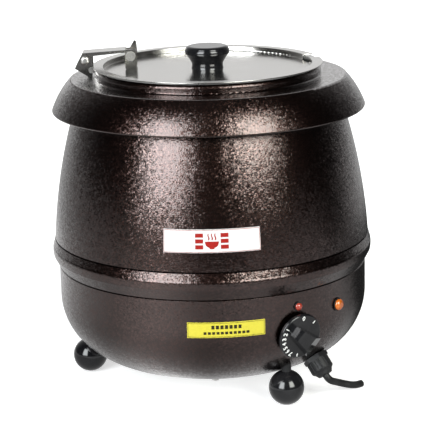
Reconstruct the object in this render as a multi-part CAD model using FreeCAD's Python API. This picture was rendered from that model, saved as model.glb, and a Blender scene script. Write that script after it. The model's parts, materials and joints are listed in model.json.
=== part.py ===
import FreeCAD, Part
import math
import os

# Countertop soup kettle with a hinged lid, an inset pot that lifts out and a dial thermostat.
# Millimetres. +Z is up, the counter is z = 0, the kettle's axis is the Z axis and -Y is its front.
# Azimuth is measured about the Z axis from the front (-Y) towards the right (+X), in degrees.

V = FreeCAD.Vector
AXIS = V(0, 0, 1)

# ---- driving dimensions -------------------------------------------------------------------
SHEET = 1.0                # steel sheet of the shells and the water pan
WIRE_GAP = 0.8             # gap between a wire's end and what it leads to
THIN = 0.8                 # stainless sheet of the pot and the lid
TOUCH = 0.03               # gap left between pieces that sit against each other
RUNNING = 0.05             # radial clearance of a pin or shaft that turns

BELLY_R = 170.0            # widest point, on the belly band
BOWL_R = 163.8             # upright wall of the lower bowl
CREASE_Z = 128.5           # seam between the belly band and the lower bowl
BAND_TOP_Z = 156.5         # seam between the belly band and the upper shell
BULGE_LOW = (167.1, 158.0)     # three points (radius, height) on the upper shell's curve
BULGE_MID = (160.45, 215.0)
BULGE_HIGH = (143.1, 289.0)

BOWL_BEND_Z = 94.7         # where the bowl's wall starts to curve in
BOWL_BEND_R = 67.5         # first, tighter curve
BOWL_BEND_TURN = 48.1      # degrees that it turns
BOWL_FLOOR_R = 82.2        # second, flatter curve
BOWL_END_R = 109.0         # where the second curve ends

COLLAR_Z = 325.5           # flat top of the collar
COLLAR_EDGE_R = 145.0      # outer edge of the collar's flat top
COLLAR_MID = (157.4, 308.6)
COLLAR_HEM = (164.3, 293.4)
NECK_R = 118.6             # upright neck inside the collar, which carries the pan's flange
NECK_BEND_R = 4.4          # the neck's top edge, rolled inward

LID_R = 120.6
LID_RIM_Z = 338.0          # top of the lid's flat rim
LID_DISC_Z = 332.6         # top of the lid's sunk disc

POT_FLANGE_Z = LID_RIM_Z - THIN - TOUCH          # top of the pot's flange, under the lid's rim
POT_FLANGE_R = 117.0
POT_R = 111.4              # outside of the pot's wall
POT_FLOOR_Z = 84.0         # underside of the pot

PAN_FLANGE_Z = POT_FLANGE_Z - THIN - TOUCH       # top of the water pan's flange, under the pot's
PAN_FLANGE_R = 116.0
PAN_NECK_R = 112.6         # inside of the pan's neck
PAN_R = 128.0              # outside of the pan's wall
PAN_FLOOR_Z = 66.0         # underside of the pan

FOOT_RING_R = 136.0
FOOT_AZIMUTHS = (32.5, 150.0, 268.0)
FOOT_BALL_R = 18.4
FOOT_FLAT_R = 4.0          # small flat that the ball stands on
FOOT_STUD_R = 3.0

DIAL_AZIMUTH = 31.0
DIAL_Z = 83.0
INDEX_LAMP_Z = 112.8       # above the dial
PILOT_AZIMUTH = 50.7
PILOT_Z = 102.3
GLAND_AZIMUTH = 48.0
GLAND_Z = 42.8

PIVOT_X = -128.0           # lid hinge: its pin lies along Y
PIVOT_Z = 343.5
HINGE_BACK_Y = 26.0        # the hinge spans y = 0 to this
PIN_R = 2.0
STRIP = 1.5                # steel strip of the hinge


# ---- helpers ------------------------------------------------------------------------------
def polar(azimuth, radius, height):
    a = math.radians(azimuth)
    return V(radius * math.sin(a), -radius * math.cos(a), height)


def outline(start, *steps):
    """Edges in the XZ plane. A step is a point (r, z), or a pair (point on the arc, end)."""
    edges = []
    here = V(start[0], 0, start[1])
    for step in steps:
        if isinstance(step[0], tuple):
            middle = V(step[0][0], 0, step[0][1])
            end = V(step[1][0], 0, step[1][1])
            edges.append(Part.Arc(here, middle, end).toShape())
        else:
            end = V(step[0], 0, step[1])
            edges.append(Part.makeLine(here, end))
        here = end
    return edges


def revolved(edges, turn=360):
    """Solid swept by a closed outline as it turns about the Z axis."""
    solid = Part.Face(Part.Wire(edges)).revolve(V(0, 0, 0), AXIS, turn)
    if solid.Volume < 0:
        solid.reverse()
    return solid


def turned(start, *steps):
    """Solid of revolution from a closed outline."""
    return revolved(outline(start, *(steps + (start,))))


def left_of(edge, parameter):
    tangent = edge.tangentAt(parameter)
    return V(-tangent.z, 0, tangent.x)


def spun_sheet(thickness, start, *steps):
    """Spun sheet metal: the outline is one skin, and the sheet lies on the left of its path."""
    skin = outline(start, *steps)
    corners = []
    for i in range(len(skin) + 1):
        before = skin[max(i - 1, 0)]
        after = skin[min(i, len(skin) - 1)]
        arriving = left_of(before, before.LastParameter if i else before.FirstParameter)
        leaving = left_of(after, after.FirstParameter if i < len(skin) else after.LastParameter)
        corner = after.Vertexes[0].Point if i < len(skin) else after.Vertexes[-1].Point
        corners.append(corner + (arriving + leaving) * (thickness / (1 + arriving.dot(leaving))))
    other_skin = [Part.makeLine(skin[-1].Vertexes[-1].Point, corners[-1])]
    for i in reversed(range(len(skin))):
        edge = skin[i]
        if isinstance(edge.Curve, Part.Line):
            other_skin.append(Part.makeLine(corners[i + 1], corners[i]))
            continue
        halfway = (edge.FirstParameter + edge.LastParameter) / 2
        middle = edge.valueAt(halfway) + left_of(edge, halfway) * thickness
        other_skin.append(Part.Arc(corners[i + 1], middle, corners[i]).toShape())
    other_skin.append(Part.makeLine(corners[0], skin[0].Vertexes[0].Point))
    return revolved(skin + other_skin)


def plate(points, y_from, y_to):
    """Flat plate: an outline in the XZ plane, extruded along Y."""
    corners = [V(x, y_from, z) for x, z in points]
    face = Part.Face(Part.makePolygon(corners + corners[:1]))
    return face.extrude(V(0, y_to - y_from, 0))


def block(low, high):
    return Part.makeBox(high[0] - low[0], high[1] - low[1], high[2] - low[2], V(*low))


def rod_y(radius, x, z, y_from, y_to):
    return Part.makeCylinder(radius, y_to - y_from, V(x, y_from, z), V(0, 1, 0))


def post(radius, x, y, z_from, z_to):
    return Part.makeCylinder(radius, z_to - z_from, V(x, y, z_from))


def hexagon(across_flats, height, base, direction):
    """Hexagonal prism standing on base, along direction."""
    corner = across_flats / math.sqrt(3)
    points = [V(corner * math.cos(math.radians(60 * i)), corner * math.sin(math.radians(60 * i)), 0)
              for i in range(7)]
    prism = Part.Face(Part.makePolygon(points)).extrude(V(0, 0, height))
    placement = FreeCAD.Placement(base, FreeCAD.Rotation(AXIS, direction))
    return prism.transformed(placement.toMatrix(), True)


def tube_along(points, radius):
    """Round wire or cord whose centre line is a smooth curve through the points."""
    curve = Part.BSplineCurve()
    curve.interpolate(points)
    path = Part.Wire(curve.toShape())
    start = curve.tangent(curve.FirstParameter)[0]
    circle = Part.Wire(Part.makeCircle(radius, points[0], start))
    return path.makePipeShell([circle], True, True)


def bowl_at(height):
    """Radius and downward tilt of the lower bowl's outer skin at a height."""
    if height >= BOWL_BEND_Z:
        return BOWL_R, 0.0
    tilt = math.asin((BOWL_BEND_Z - height) / BOWL_BEND_R)
    if math.degrees(tilt) <= BOWL_BEND_TURN:
        return BOWL_R - BOWL_BEND_R * (1 - math.cos(tilt)), math.degrees(tilt)
    tilt = math.asin((FLOOR_MID[1] - height) / BOWL_FLOOR_R)
    return FLOOR_MID[0] + BOWL_FLOOR_R * math.cos(tilt), math.degrees(tilt)


def on_curve(centre, radius, tilt):
    a = math.radians(tilt)
    return (centre[0] + radius * math.cos(a), centre[1] - radius * math.sin(a))


def seated(shape, azimuth, height):
    """Moves a shape built at the origin, with +Z outward and +Y up, onto the lower bowl's skin."""
    radius, tilt = bowl_at(height)
    turn = FreeCAD.Rotation(AXIS, azimuth)
    dip = FreeCAD.Rotation(V(1, 0, 0), 90 + tilt)
    placement = FreeCAD.Placement(polar(azimuth, radius, height), turn.multiply(dip))
    return shape.transformed(placement.toMatrix(), True)


def pieces_by_height(shape):
    return sorted(shape.Solids, key=lambda solid: solid.CenterOfMass.z)


def write(name, *solids):
    shape = solids[0] if len(solids) == 1 else Part.makeCompound(list(solids))
    shape.exportStep("parts/" + name + ".step")


# ---- lower bowl's curves ------------------------------------------------------------------
BEND_MID = (BOWL_R - BOWL_BEND_R, BOWL_BEND_Z)
BEND_END = on_curve(BEND_MID, BOWL_BEND_R, BOWL_BEND_TURN)
FLOOR_MID = (BEND_END[0] - BOWL_FLOOR_R * math.cos(math.radians(BOWL_BEND_TURN)),
             BEND_END[1] + BOWL_FLOOR_R * math.sin(math.radians(BOWL_BEND_TURN)))
BOWL_END_TILT = math.degrees(math.acos((BOWL_END_R - FLOOR_MID[0]) / BOWL_FLOOR_R))
BOWL_END = on_curve(FLOOR_MID, BOWL_FLOOR_R, BOWL_END_TILT)


BASE_SCREW_RING_R = 101.5
BASE_SCREW_AZIMUTHS = (0.0, 90.0, 180.0, 270.0)
BASE_TOP_Z = BOWL_END[1] - TOUCH


# ---- shells -------------------------------------------------------------------------------
def upper_shell():
    lap_r = BULGE_LOW[0] - 1.2
    return spun_sheet(
        SHEET,
        (lap_r, BAND_TOP_Z - 10), (lap_r, BAND_TOP_Z + 0.1), BULGE_LOW,
        (BULGE_MID, BULGE_HIGH), (141.0, 294.0), (141.0, COLLAR_Z - SHEET - TOUCH - 3),
        ((140.0, COLLAR_Z - SHEET - TOUCH - 0.9), (138.0, COLLAR_Z - SHEET - TOUCH)),
        (122.0, COLLAR_Z - SHEET - TOUCH))


def belly_band():
    return spun_sheet(
        SHEET,
        (BOWL_R, CREASE_Z), (169.6, 139.5), ((BELLY_R, 142.5), (BELLY_R, 145.5)),
        ((169.9, 147.4), (169.3, 149.2)), (167.4, BAND_TOP_Z))


def plain_bowl():
    """The lower shell before its holes are cut."""
    lap_r = BOWL_R - 1.3
    bend_half = on_curve(BEND_MID, BOWL_BEND_R, BOWL_BEND_TURN / 2)
    floor_half = on_curve(FLOOR_MID, BOWL_FLOOR_R, (BOWL_BEND_TURN + BOWL_END_TILT) / 2)
    flange_r = 98.0
    return spun_sheet(
        SHEET,
        (flange_r, BOWL_END[1]), BOWL_END, (floor_half, BEND_END),
        (bend_half, (BOWL_R, BOWL_BEND_Z)), (BOWL_R, CREASE_Z - 1.5),
        (lap_r, CREASE_Z - 0.3), (lap_r, CREASE_Z + 9))


def lower_shell():
    shell = plain_bowl()
    for azimuth in FOOT_AZIMUTHS:
        hole = polar(azimuth, FOOT_RING_R, 0)
        shell = shell.cut(post(FOOT_STUD_R + 0.3, hole.x, hole.y, 30, 60))
    for azimuth in BASE_SCREW_AZIMUTHS:
        hole = polar(azimuth, BASE_SCREW_RING_R, 0)
        shell = shell.cut(post(2.1, hole.x, hole.y, 20, 40))
    # radius, azimuth, height and sideways offset of each hole drilled square to the skin
    drilled = [
        (5.0, DIAL_AZIMUTH, DIAL_Z, 0),
        (1.7, DIAL_AZIMUTH, DIAL_Z, -THERMOSTAT_SCREW_X),
        (1.7, DIAL_AZIMUTH, DIAL_Z, THERMOSTAT_SCREW_X),
        (3.1, DIAL_AZIMUTH, INDEX_LAMP_Z, 0),
        (5.1, PILOT_AZIMUTH, PILOT_Z, 0),
        (8.1, GLAND_AZIMUTH, GLAND_Z, 0),
    ]
    for radius, azimuth, height, sideways in drilled:
        shell = shell.cut(seated(post(radius, sideways, 0, -12, 8), azimuth, height))
    return shell


def collar_ring():
    hem_r = COLLAR_HEM[0]
    hem_z = COLLAR_HEM[1]
    neck_top = PAN_FLANGE_Z - SHEET - TOUCH
    eighth_turn = NECK_BEND_R * (1 - math.cos(math.radians(45)))
    return spun_sheet(
        SHEET,
        (hem_r - 6.0, hem_z - 1.2), (hem_r - 1.6, hem_z - 1.2),
        ((hem_r - 0.1, hem_z - 0.6), (hem_r, hem_z + 0.8)),
        (COLLAR_MID, (COLLAR_EDGE_R + 0.9, COLLAR_Z - 1.3)),
        ((COLLAR_EDGE_R - 0.2, COLLAR_Z - 0.25), (COLLAR_EDGE_R - 1.8, COLLAR_Z)),
        (NECK_R + 1.6, COLLAR_Z), ((NECK_R + 0.45, COLLAR_Z + 0.5), (NECK_R, COLLAR_Z + 1.6)),
        (NECK_R, neck_top - NECK_BEND_R),
        ((NECK_R - eighth_turn, neck_top - eighth_turn), (NECK_R - NECK_BEND_R, neck_top)))


# ---- water pan, pot and what heats them ---------------------------------------------------
def water_pan():
    corner = 16.0
    middle = corner * (1 - math.cos(math.radians(45)))
    neck = PAN_NECK_R + SHEET
    return spun_sheet(
        SHEET,
        (0, PAN_FLOOR_Z), (PAN_R - corner, PAN_FLOOR_Z),
        ((PAN_R - middle, PAN_FLOOR_Z + middle), (PAN_R, PAN_FLOOR_Z + corner)),
        (PAN_R, 296.0), ((PAN_R - 1.2, 299.2), (PAN_R - 3.4, 301.8)),
        (neck, 316.0), (neck, PAN_FLANGE_Z - SHEET), (PAN_FLANGE_R, PAN_FLANGE_Z - SHEET))


def soup_pot():
    """Straight-sided pot with a flat flange that hangs it in the water pan."""
    corner = 22.0
    middle = corner * (1 - math.cos(math.radians(45)))
    bend = 1.2
    bend_middle = bend * (1 - math.cos(math.radians(45)))
    flange_z = POT_FLANGE_Z - THIN
    return spun_sheet(
        THIN,
        (0, POT_FLOOR_Z), (POT_R - corner, POT_FLOOR_Z),
        ((POT_R - middle, POT_FLOOR_Z + middle), (POT_R, POT_FLOOR_Z + corner)),
        (POT_R, flange_z - bend),
        ((POT_R + bend_middle, flange_z - bend_middle), (POT_R + bend, flange_z)),
        (POT_FLANGE_R, flange_z))


def insulation_blanket():
    inner = PAN_R + 2
    outer = 140.0
    return turned((inner, 110), (outer, 110), (outer, 286), (inner, 286))


ELEMENT_RING_R = 78.0
ELEMENT_TUBE_R = 4.0
ELEMENT_Z = PAN_FLOOR_Z - ELEMENT_TUBE_R - TOUCH
ELEMENT_LEG_Y = (-9.0, 9.0)
ELEMENT_PIN_Z = 38.0       # lower end of the terminal pins


def heating_element():
    element = Part.makeTorus(ELEMENT_RING_R, ELEMENT_TUBE_R, V(0, 0, ELEMENT_Z), AXIS)
    for y in ELEMENT_LEG_Y:
        x = math.sqrt(ELEMENT_RING_R ** 2 - y ** 2)
        element = element.fuse(post(3.2, x, y, 46, ELEMENT_Z))
        element = element.fuse(post(1.6, x, y, ELEMENT_PIN_Z, 46))
    return element.removeSplitter()


PRESS_PLATE_Z = ELEMENT_Z - ELEMENT_TUBE_R - TOUCH


def press_plate():
    ring = post(94, 0, 0, PRESS_PLATE_Z - 1.5, PRESS_PLATE_Z)
    ring = ring.cut(post(62, 0, 0, 40, 70))
    leg_slot = block((70, -14, 40), (86, 14, 70))
    return ring.cut(leg_slot)


CLAMP_BAR_Z = PRESS_PLATE_Z - 1.5 - TOUCH


def clamp_bar():
    bar = block((-90, -8, CLAMP_BAR_Z - 3), (68, 8, CLAMP_BAR_Z))
    return bar.cut(post(4.1, 0, 0, 40, 70))


def clamp_stud():
    return post(4.0, 0, 0, CLAMP_BAR_Z - 12, PAN_FLOOR_Z - TOUCH)


def clamp_nut():
    nut = hexagon(13, 6.5, V(0, 0, CLAMP_BAR_Z - 3 - TOUCH - 6.5), AXIS)
    return nut.cut(post(4.0 + TOUCH, 0, 0, 30, 70))


# ---- thermostat ---------------------------------------------------------------------------
THERMOSTAT_SCREW_X = 14.0
SHAFT_R = 3.0
DIAL_TURN_AT_REST = -42.0  # the grip bar's direction, from the right, seen from outside
BULB_Y = -35.0
BULB_FROM_X = -20.0
BULB_TO_X = 40.0
BULB_R = 3.0
BULB_Z = PAN_FLOOR_Z - BULB_R - TOUCH


def thermostat_body():
    case = block((-17, -17, -30), (17, 17, -6))
    bush = post(4.8, 0, 0, -6, 1.2)
    body = case.fuse(bush).cut(post(SHAFT_R + RUNNING, 0, 0, -16, 2))
    for x in (-THERMOSTAT_SCREW_X, THERMOSTAT_SCREW_X):
        body = body.cut(post(1.5 + TOUCH, x, 0, -12, 0))
    return seated(body, DIAL_AZIMUTH, DIAL_Z)


def thermostat_screws():
    screws = []
    for x in (-THERMOSTAT_SCREW_X, THERMOSTAT_SCREW_X):
        screw = post(1.5, x, 0, -11, 0).fuse(post(2.9, x, 0, 0, 1.7))
        slot = block((x - 3, -0.4, 1.1), (x + 3, 0.4, 2))
        screws.append(seated(screw.cut(slot), DIAL_AZIMUTH, DIAL_Z))
    return screws


def thermostat_shaft():
    shaft = post(SHAFT_R, 0, 0, -15, 15)
    flat = block((-5, 1.6, 4), (5, 5, 16))
    shaft = shaft.cut(flat)
    shaft.rotate(V(0, 0, 0), AXIS, DIAL_TURN_AT_REST)
    return seated(shaft, DIAL_AZIMUTH, DIAL_Z)


def dial_knob():
    """Skirt disc with a grip bar that widens and slopes down to the skirt's edge where it points."""
    skirt_r = 24.0
    skirt_top = 6.2
    skirt = turned((0, 2.6), (skirt_r, 2.6), (skirt_r, 4.6),
                   ((skirt_r - 0.5, 5.7), (skirt_r - 1.6, skirt_top)), (0, skirt_top))
    side = [(-17.0, 5.0), (skirt_r, 5.0), (skirt_r, skirt_top), (4.5, 20.0), (-13.0, 20.0), (-15.6, 17.0)]
    plan = [V(-17, -5.2, 5), V(4.5, -7.8, 5), V(skirt_r, -12.2, 5),
            V(skirt_r, 12.2, 5), V(4.5, 7.8, 5), V(-17, 5.2, 5)]
    grip = plate(side, -12.5, 12.5)
    grip = grip.common(Part.Face(Part.makePolygon(plan + plan[:1])).extrude(V(0, 0, 16)))
    knob = skirt.fuse(grip).common(post(skirt_r, 0, 0, 2, 22)).removeSplitter()
    bore = post(SHAFT_R + TOUCH, 0, 0, 2, 15 + TOUCH)
    flat = block((-5, 1.6 + TOUCH, 5), (5, 5, 16))
    bore = bore.cut(flat)
    recess = post(skirt_r - 2, 0, 0, 2, 4.4).cut(post(6, 0, 0, 2, 5))
    knob = knob.cut(bore).cut(recess)
    knob.rotate(V(0, 0, 0), AXIS, DIAL_TURN_AT_REST)
    return seated(knob, DIAL_AZIMUTH, DIAL_Z)


def sensing_bulb():
    body = Part.makeCylinder(BULB_R, BULB_TO_X - BULB_FROM_X, V(BULB_FROM_X, BULB_Y, BULB_Z), V(1, 0, 0))
    nose = Part.makeSphere(BULB_R, V(BULB_TO_X, BULB_Y, BULB_Z))
    return body.fuse(nose).removeSplitter()


def bulb_clip():
    strap = block((4, BULB_Y - 9, BULB_Z - BULB_R - 1.2), (16, BULB_Y + 9, PAN_FLOOR_Z - TOUCH))
    return strap.cut(Part.makeCylinder(BULB_R + TOUCH, 20, V(2, BULB_Y, BULB_Z), V(1, 0, 0)))


def capillary_tube():
    """Fine tube from the bulb under the pan to the underside of the thermostat."""
    start = V(BULB_FROM_X - WIRE_GAP, BULB_Y, BULB_Z)
    case_foot = seated(Part.Vertex(-8, -17 - WIRE_GAP, -26), DIAL_AZIMUTH, DIAL_Z).Point
    below = seated(Part.Vertex(-8, -22, -26), DIAL_AZIMUTH, DIAL_Z).Point
    return tube_along([start, start - V(4, 0, 0), polar(-36, 47, 58), polar(-18, 56, 50), polar(5, 80, 46),
                       polar(19, 106, 48), polar(25, 121, 55), below, case_foot], 0.8)


# ---- lamps, cord and wiring ---------------------------------------------------------------
def lamp_lens(radius, dome, stem_r):
    """Coloured lens: a low dome on a stem that sits in the lamp's body."""
    rim = dome + 1.5
    return turned((0, 1.5), (radius, 1.5), (radius, 2.6), ((radius * 0.78, rim), (radius * 0.3, rim + 0.9)),
                  (0, rim + 1.0)).fuse(post(stem_r, 0, 0, -4, 1.5)).removeSplitter()


def lamp_body(flange_r, tube_r, bore_r, length):
    tube = post(tube_r, 0, 0, -length, 0.4).fuse(post(flange_r, 0, 0, 0.4, 1.5 - TOUCH))
    bore = post(bore_r + TOUCH, 0, 0, -4 - TOUCH, 3)
    pins = [post(0.8, x, 0, -length - 5, -length) for x in (-2, 2)]
    return tube.cut(bore).fuse(pins[0]).fuse(pins[1]).removeSplitter()


def pilot_lamp_lens():
    return seated(lamp_lens(6.0, 3.0, 3.4), PILOT_AZIMUTH, PILOT_Z)


def pilot_lamp_body():
    return seated(lamp_body(7.0, 5.0, 3.4, 22), PILOT_AZIMUTH, PILOT_Z)


def pilot_lamp_nut():
    nut = hexagon(14, 3, V(0, 0, -4.6), AXIS).cut(post(5.0 + TOUCH, 0, 0, -10, 0))
    return seated(nut, PILOT_AZIMUTH, PILOT_Z)


def index_lamp_lens():
    return seated(lamp_lens(3.8, 2.0, 1.8), DIAL_AZIMUTH, INDEX_LAMP_Z)


def index_lamp_body():
    return seated(lamp_body(4.6, 3.0, 1.8, 16), DIAL_AZIMUTH, INDEX_LAMP_Z)


CORD_R = 3.75
GLAND_LENGTH = 22.0
CORD_INSIDE = 13.0         # length of sheath inside the bowl


def cord_gland():
    """Cable gland: threaded stem, hexagon body, ribbed compression cap with a round nose."""
    stem = post(7.9, 0, 0, -12, 0.1)
    body = hexagon(24, 4.5, V(0, 0, 0.1), AXIS)
    cap = turned((0, 4.6), (12.2, 4.6), (12.2, 15.5), ((11.4, 17.0), (9.8, 18.2)),
                 (7.6, GLAND_LENGTH), (0, GLAND_LENGTH))
    for i in range(14):
        groove = post(1.1, 12.9, 0, 5.6, 20)
        groove.rotate(V(0, 0, 0), AXIS, i * 360 / 14)
        cap = cap.cut(groove)
    gland = stem.fuse(body).fuse(cap).cut(post(CORD_R + TOUCH, 0, 0, -20, 30))
    return seated(gland.removeSplitter(), GLAND_AZIMUTH, GLAND_Z)


def gland_nut():
    nut = hexagon(22, 4, V(0, 0, -6.4), AXIS).cut(post(7.9 + TOUCH, 0, 0, -20, 5))
    return seated(nut, GLAND_AZIMUTH, GLAND_Z)


def along_gland(distance, side=0.0):
    return seated(Part.Vertex(side, 0, distance), GLAND_AZIMUTH, GLAND_Z).Point


def power_cord():
    """Sheathed flexible cord: out of the gland, down to the counter and away to the right."""
    straight = Part.makeLine(along_gland(-CORD_INSIDE), along_gland(GLAND_LENGTH + 1))
    curve = Part.BSplineCurve()
    leave = along_gland(GLAND_LENGTH + 1)
    direction = leave - along_gland(0)
    direction.normalize()
    points = [leave, polar(53.4, 157, 14.2), polar(58.6, 163, 8.0), polar(65.0, 170, CORD_R + 0.3)]
    lying = points[-1] - points[-2]
    lying.normalize()
    curve.interpolate(Points=points, InitialTangent=direction * 20, FinalTangent=V(lying.x, lying.y, 0) * 14)
    path = Part.Wire([straight, curve.toShape()])
    circle = Part.Wire(Part.makeCircle(CORD_R, along_gland(-CORD_INSIDE), direction))
    return path.makePipeShell([circle], True, True)


TERMINAL_SIZE = V(30, 18, 14)
TERMINAL_CORNER = V(40, -60, BASE_TOP_Z + TOUCH)
TERMINAL_TOP_Z = TERMINAL_CORNER.z + TERMINAL_SIZE.z


def terminal(i, row):
    """Mouth of a terminal: i counts along X, row 0 takes the cord and row 1 the leads."""
    return V(TERMINAL_CORNER.x + 5 + 10 * i, TERMINAL_CORNER.y + 5 + 8 * row, TERMINAL_TOP_Z)


def terminal_block():
    block_body = Part.makeBox(TERMINAL_SIZE.x, TERMINAL_SIZE.y, TERMINAL_SIZE.z, TERMINAL_CORNER)
    for i in range(3):
        for row in range(2):
            mouth = terminal(i, row)
            block_body = block_body.cut(post(2.2, mouth.x, mouth.y, mouth.z - 6, mouth.z + 1))
    return block_body


def wired(start, *points):
    """Insulated wire that leaves a terminal upwards."""
    inside = start - V(0, 0, 5)
    return tube_along([inside, start + V(0, 0, 2)] + list(points), 1.1)


def cord_cores():
    """The three insulated cores from the sheath's inner end to the terminal block."""
    cores = []
    for i in range(3):
        side = 2.5 * (i - 1)
        mouth = terminal(i, 0)
        halfway = V((mouth.x + 93) / 2, -70, 50)
        cores.append(wired(mouth, halfway, along_gland(-CORD_INSIDE - 6, side * 1.2),
                           along_gland(-CORD_INSIDE - 0.4, side)))
    return cores


EARTH_STUD = (30.0, -80.0)


def earth_screw():
    x, y = EARTH_STUD
    return post(2.0, x, y, 24.2, 36).fuse(hexagon(7, 3, V(x, y, 30.5), AXIS)).removeSplitter()


def wiring_leads():
    """Leads from the terminal block to the element and the thermostat, and on to the cut-out."""
    leg_x = math.sqrt(ELEMENT_RING_R ** 2 - ELEMENT_LEG_Y[0] ** 2)
    near_pin = V(leg_x, ELEMENT_LEG_Y[0], ELEMENT_PIN_Z - WIRE_GAP)
    far_pin = V(leg_x, ELEMENT_LEG_Y[1], ELEMENT_PIN_Z - WIRE_GAP)
    down = V(0, 0, -6)
    tag = seated(Part.Vertex(4, -17 - WIRE_GAP, -26), DIAL_AZIMUTH, DIAL_Z).Point
    below = seated(Part.Vertex(4, -22, -26), DIAL_AZIMUTH, DIAL_Z).Point
    to_element = wired(terminal(2, 1), V(72, -32, 40), near_pin + V(0, -6, -9), near_pin + down, near_pin)
    to_thermostat = wired(terminal(0, 1), V(35, -60, 47), polar(27, 95, 49), polar(30, 119, 56), below, tag)
    cutout = V(CUTOUT[0], CUTOUT[1], CUTOUT_Z - WIRE_GAP)
    to_cutout = tube_along([far_pin, far_pin + down, far_pin + V(-6, 8, -7), V(45, 36, 36), V(0, 42, 40),
                            cutout + V(3, 1, -9), cutout + down, cutout], 1.1)
    return [to_element, to_thermostat, to_cutout]


CUTOUT = (-35.0, 34.0)
CUTOUT_Z = 58.0


def thermal_cutout():
    x, y = CUTOUT
    base = block((x - 14, y - 6, PAN_FLOOR_Z - TOUCH - 1), (x + 14, y + 6, PAN_FLOOR_Z - TOUCH))
    return base.fuse(post(8, x, y, CUTOUT_Z, PAN_FLOOR_Z - TOUCH - 1)).removeSplitter()


# ---- base and feet ------------------------------------------------------------------------
def base_plate():
    base = post(106.5, 0, 0, BASE_TOP_Z - 1.2, BASE_TOP_Z)
    for azimuth in BASE_SCREW_AZIMUTHS:
        hole = polar(azimuth, BASE_SCREW_RING_R, 0)
        base = base.cut(post(2.1, hole.x, hole.y, 20, 40))
    for row in range(-3, 4):
        slot = block((-24, row * 10 - 1.5 + 30, 20), (24, row * 10 + 1.5 + 30, 30))
        base = base.cut(slot)
    return base.cut(post(2.0 + TOUCH, EARTH_STUD[0], EARTH_STUD[1], 20, 40))


def base_plate_screws():
    screws = []
    for azimuth in BASE_SCREW_AZIMUTHS:
        at = polar(azimuth, BASE_SCREW_RING_R, 0)
        under = BASE_TOP_Z - 1.2 - TOUCH
        screw = post(2.0, at.x, at.y, under, under + 8).fuse(post(3.8, at.x, at.y, under - 2.2, under))
        cross = block((at.x - 2.5, at.y - 0.5, under - 3), (at.x + 2.5, at.y + 0.5, under - 1.1))
        cross = cross.fuse(block((at.x - 0.5, at.y - 2.5, under - 3), (at.x + 0.5, at.y + 2.5, under - 1.1)))
        screws.append(screw.cut(cross).removeSplitter())
    return screws


FOOT_CENTRE_Z = math.sqrt(FOOT_BALL_R ** 2 - FOOT_FLAT_R ** 2)
FOOT_SEAT_Z = 35.6
PAD_TOP_Z = 53.0


def at_feet(make):
    return [make(polar(azimuth, FOOT_RING_R, 0)) for azimuth in FOOT_AZIMUTHS]


def ball_foot(at):
    ball = Part.makeSphere(FOOT_BALL_R, V(at.x, at.y, FOOT_CENTRE_Z))
    ball = ball.common(post(FOOT_BALL_R + 1, at.x, at.y, 0, FOOT_SEAT_Z))
    return ball.cut(post(FOOT_STUD_R + TOUCH, at.x, at.y, 20, 40))


def foot_spacer(at):
    """Distance piece between the ball and the sloping bowl."""
    bar = post(5.0, at.x, at.y, FOOT_SEAT_Z + TOUCH, 60)
    bar = bar.cut(post(FOOT_STUD_R + TOUCH, at.x, at.y, 20, 70))
    return pieces_by_height(bar.cut(plain_bowl()))[0]


def foot_pad(at):
    """Pad inside the bowl that gives the foot's nut a level seat."""
    bar = post(9.0, at.x, at.y, 25, PAD_TOP_Z)
    bar = bar.cut(post(FOOT_STUD_R + TOUCH, at.x, at.y, 20, 70))
    return pieces_by_height(bar.cut(plain_bowl()))[-1]


def foot_stud(at):
    return post(FOOT_STUD_R, at.x, at.y, 20.5, PAD_TOP_Z + 6)


def foot_nut(at):
    nut = hexagon(10, 5, V(at.x, at.y, PAD_TOP_Z + TOUCH), AXIS)
    return nut.cut(post(FOOT_STUD_R + TOUCH, at.x, at.y, 40, 80))


# ---- plates on the outside ----------------------------------------------------------------
def circle_through(a, b, c):
    """Centre (x, z) and radius of the circle through three points."""
    d = 2 * (a[0] * (b[1] - c[1]) + b[0] * (c[1] - a[1]) + c[0] * (a[1] - b[1]))
    sq = [p[0] ** 2 + p[1] ** 2 for p in (a, b, c)]
    x = (sq[0] * (b[1] - c[1]) + sq[1] * (c[1] - a[1]) + sq[2] * (a[1] - b[1])) / d
    z = (sq[0] * (c[0] - b[0]) + sq[1] * (a[0] - c[0]) + sq[2] * (b[0] - a[0])) / d
    return x, z, math.hypot(a[0] - x, a[1] - z)


def upper_skin(height):
    x, z, radius = circle_through(BULGE_LOW, BULGE_MID, BULGE_HIGH)
    return x + math.sqrt(radius ** 2 - (height - z) ** 2)


def wrapped_plate(skin, heights, azimuths, thickness):
    """Thin plate that follows a shell: skin gives the shell's radius at a height."""
    def climb(offset, levels):
        steps = []
        for low, high in zip(levels, levels[1:]):
            middle = (low + high) / 2
            bulge = skin(middle) - (skin(low) + skin(high)) / 2
            end = (skin(high) + offset, high)
            steps.append(end if abs(bulge) < 1e-6 else ((skin(middle) + offset, middle), end))
        return steps

    start = (skin(heights[0]) + TOUCH, heights[0])
    turn_back = (skin(heights[-1]) + thickness, heights[-1])
    edges = outline(start, *climb(TOUCH, heights), turn_back, *climb(thickness, heights[::-1]), start)
    plate_solid = revolved(edges, azimuths[1] - azimuths[0])
    plate_solid.rotate(V(0, 0, 0), AXIS, azimuths[0] - 90)
    return plate_solid


def name_plate():
    return wrapped_plate(upper_skin, (177.9, 200.8), (-16.7, 16.7), 1.2)


def hot_surface_plate():
    return wrapped_plate(lambda height: bowl_at(height)[0], (89.6, BOWL_BEND_Z, 105.6), (-9.4, 18.0), 0.6)


# ---- lid ----------------------------------------------------------------------------------
NOTCH_AZIMUTH = 105.0
KNOB_SCREW_R = 2.5


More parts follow.
